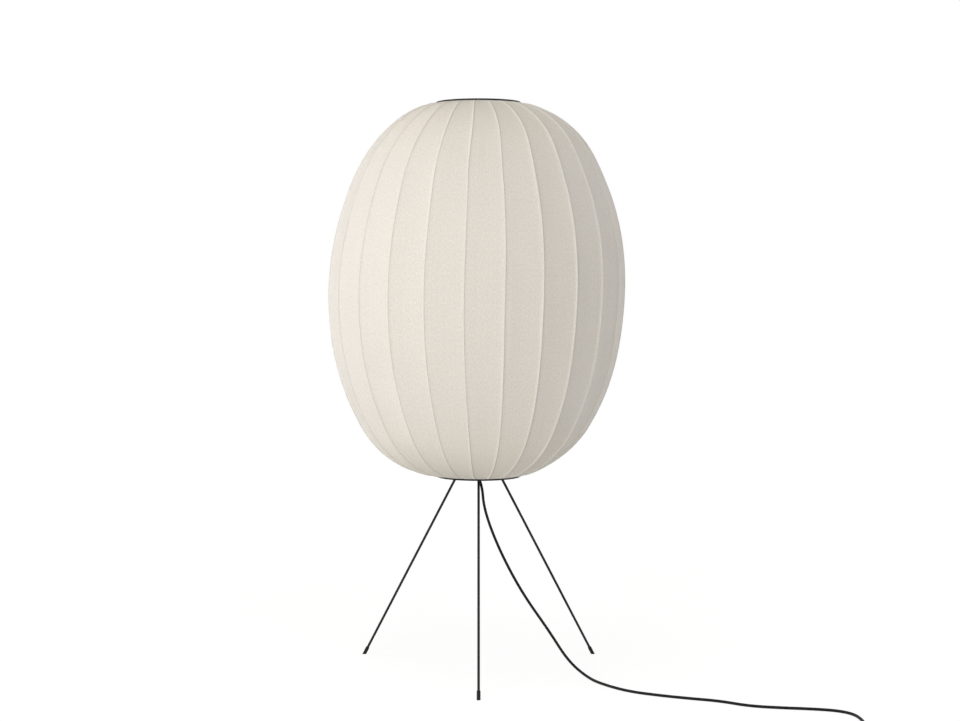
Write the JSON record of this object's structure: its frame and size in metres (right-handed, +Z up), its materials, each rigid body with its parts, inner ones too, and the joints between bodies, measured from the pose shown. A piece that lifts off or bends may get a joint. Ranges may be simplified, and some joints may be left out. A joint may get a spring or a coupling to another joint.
{
  "type": "floor lamp",
  "caption": "Floor lamp with a ribbed balloon shade of white knit over bent rods between two wire rings, on a tripod of thin black rods, with a cord, foot switch and plug.",
  "frame": {"origin": "on the floor, on the lamp's vertical axis", "axes": "+Z up along the lamp's axis; -Y towards the front leg; +X to the right as seen from the front"},
  "size_m": [1.0703, 0.9699, 1.2449],
  "materials": {
    "knit": "white wool-mix knit",
    "rib_rods": "white glass-fibre rod",
    "rib_caps": "white, satin",
    "black_wire": "black powder coat",
    "black_legs": "black powder coat",
    "black_hub": "black powder coat",
    "feet": "black, matt",
    "lock_nuts": "black",
    "zinc_steel": "zinc plated",
    "holder_plastic": "black, satin",
    "insert_plastic": "cream",
    "contacts": "plain",
    "bulb_cap_metal": "plain",
    "bulb_glass": "opal",
    "cord_cloth": "black braided textile",
    "black_plastic": "black, satin",
    "small_steel": "plain",
    "plug_pins": "nickel plated"
  },
  "bodies": {
    "lamp": {"knitted_shade": "knit", "rib_rod_01": "rib_rods", "rib_rod_02": "rib_rods", "rib_rod_03": "rib_rods", "rib_rod_04": "rib_rods", "rib_rod_05": "rib_rods", "rib_rod_06": "rib_rods", "rib_rod_07": "rib_rods", "rib_rod_08": "rib_rods", "rib_rod_09": "rib_rods", "rib_rod_10": "rib_rods", "rib_rod_11": "rib_rods", "rib_rod_12": "rib_rods", "rib_rod_13": "rib_rods", "rib_rod_14": "rib_rods", "rib_rod_15": "rib_rods", "rib_rod_16": "rib_rods", "rib_rod_17": "rib_rods", "rib_rod_18": "rib_rods", "rib_rod_19": "rib_rods", "rib_rod_20": "rib_rods", "rib_rod_21": "rib_rods", "rib_rod_22": "rib_rods", "rib_rod_23": "rib_rods", "rib_rod_24": "rib_rods", "rib_caps_top": "rib_caps", "rib_caps_bottom": "rib_caps", "top_ring": "black_wire", "bottom_ring": "black_wire", "shade_ring_nut": "holder_plastic", "leg_hub": "black_hub", "leg_front": "black_legs", "leg_back_right": "black_legs", "leg_back_left": "black_legs", "foot_front": "feet", "foot_back_right": "feet", "foot_back_left": "feet", "leg_lock_nuts": "lock_nuts", "cord_gland": "holder_plastic", "stem_tube": "zinc_steel", "holder_cap": "holder_plastic", "holder_shell": "holder_plastic", "holder_insert": "insert_plastic", "holder_contacts": "contacts", "bulb_base": "bulb_cap_metal", "bulb_globe": "bulb_glass", "inner_cord": "cord_cloth", "supply_cord": "cord_cloth", "switch_base": "black_plastic", "switch_cover": "black_plastic", "switch_spring": "small_steel", "switch_contacts": "contacts", "switch_screws": "small_steel", "coil_lead": "cord_cloth", "cord_coil": "cord_cloth", "plug_lead": "cord_cloth", "cord_tie": "black_plastic", "plug_body": "black_plastic", "plug_pins": "plug_pins"},
    "push_button": {"switch_button": "black_plastic"}
  },
  "joints": [
    {"name": "switch_press", "type": "slide", "parent": "lamp", "child": "push_button", "axis": [0, 0, -1], "range_m": [0, 0.003], "stiffness_N_per_m": 800, "springref_m": -0.002, "deforming": ["switch_spring"]}
  ]
}
